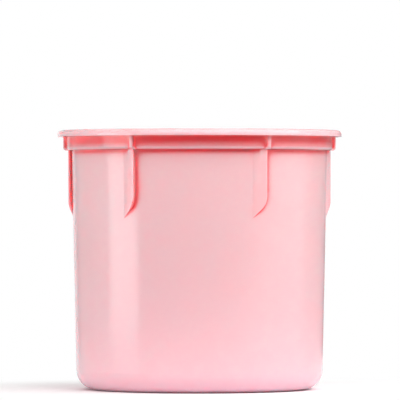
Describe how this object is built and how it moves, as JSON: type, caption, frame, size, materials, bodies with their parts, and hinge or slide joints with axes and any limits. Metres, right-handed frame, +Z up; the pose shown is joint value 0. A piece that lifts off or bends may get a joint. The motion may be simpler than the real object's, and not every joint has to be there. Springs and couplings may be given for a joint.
{
  "type": "wax warmer pot",
  "caption": "Drop-in moulded wax pot with a hanging flange, ribbed collar, swept spring fins and drafted wall, closed by a dished inner lid that lifts out by its tab.",
  "frame": {"origin": "centre of the foot ring, on the surface that the pot stands on", "axes": "+Z up along the pot's axis; -Y is the side that the picture shows; a rib and a fin's free edge lie on +X"},
  "size_m": [0.12, 0.12, 0.1093],
  "materials": {
    "pot_plastic": "glossy, slightly translucent pink",
    "lid_plastic": "soft satin, milky pink"
  },
  "bodies": {
    "pot": {"pot_body": "pot_plastic"},
    "lid": {"inner_lid": "lid_plastic"}
  },
  "joints": [
    {"name": "lid_lift", "type": "slide", "parent": "pot", "child": "lid", "axis": [0, 0, 1], "range_m": [0, 0.08]}
  ]
}
